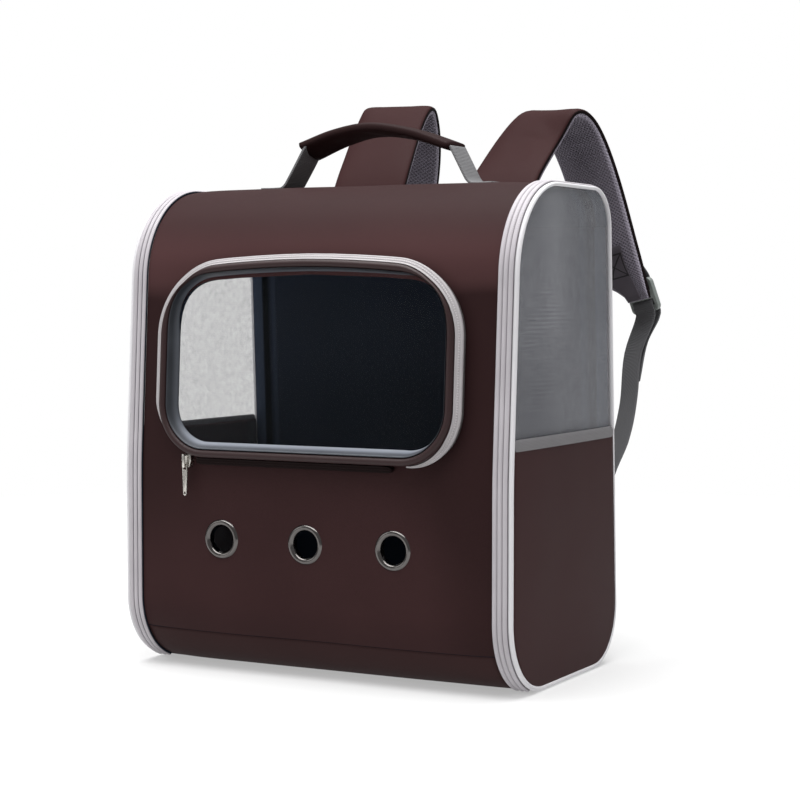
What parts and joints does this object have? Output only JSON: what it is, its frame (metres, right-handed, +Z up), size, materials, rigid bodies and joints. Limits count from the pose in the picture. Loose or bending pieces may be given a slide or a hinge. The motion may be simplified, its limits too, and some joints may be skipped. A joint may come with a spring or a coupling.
{
  "type": "pet carrier backpack",
  "caption": "Boxy soft-sided pet carrier backpack with a framed front window, vent eyelets, mesh sides with slip pockets, a top handle and padded shoulder straps.",
  "frame": {"origin": "centre of the bottom face, on the surface that the bag stands on", "axes": "+Z up, -Y the front with the window, +X to the right seen from the front"},
  "size_m": [0.3596, 0.3766, 0.4896],
  "materials": {
    "brown_cloth": "smooth coated oxford cloth",
    "base_cloth": "smooth coated oxford cloth over board",
    "side_mesh": "fine woven mesh",
    "air_mesh": "spacer mesh over foam",
    "trim_tape": "light grey zip tape and piping",
    "window_lip": "satin grey plastic",
    "webbing": "woven webbing",
    "clear_film": "clear film",
    "steel": "satin plated metal",
    "gunmetal": "polished dark plated metal",
    "buckle_plastic": "satin grey plastic"
  },
  "bodies": {
    "bag": {"front_top_panel": "brown_cloth", "back_panel": "brown_cloth", "base_panel": "base_cloth", "left_side_zip": "trim_tape", "right_side_zip": "trim_tape", "left_piping": "trim_tape", "right_piping": "trim_tape", "left_side_mesh": "side_mesh", "right_side_mesh": "side_mesh", "left_pocket": "brown_cloth", "right_pocket": "brown_cloth", "left_pocket_binding": "side_mesh", "right_pocket_binding": "side_mesh", "window_rim": "brown_cloth", "window_lip": "window_lip", "window_zip": "trim_tape", "window_hinge": "brown_cloth", "window_pane": "clear_film", "window_slider": "steel", "eyelet_left": "gunmetal", "eyelet_middle": "gunmetal", "eyelet_right": "gunmetal", "handle_grip": "base_cloth", "handle_web_left": "webbing", "handle_web_right": "webbing", "left_strap_cover": "brown_cloth", "right_strap_cover": "brown_cloth", "left_strap_pad": "air_mesh", "right_strap_pad": "air_mesh", "left_strap_patch": "webbing", "right_strap_patch": "webbing", "left_buckle": "buckle_plastic", "right_buckle": "buckle_plastic", "left_buckle_loop": "webbing", "right_buckle_loop": "webbing", "left_webbing": "webbing", "right_webbing": "webbing"},
    "pull": {"pull_tab": "steel"}
  },
  "joints": [
    {"name": "pull_swing", "type": "hinge", "parent": "bag", "child": "pull", "pos_m": [-0.1135, -0.1148, 0.1719], "axis": [-1, 0, 0], "range_deg": [0, 110]}
  ]
}
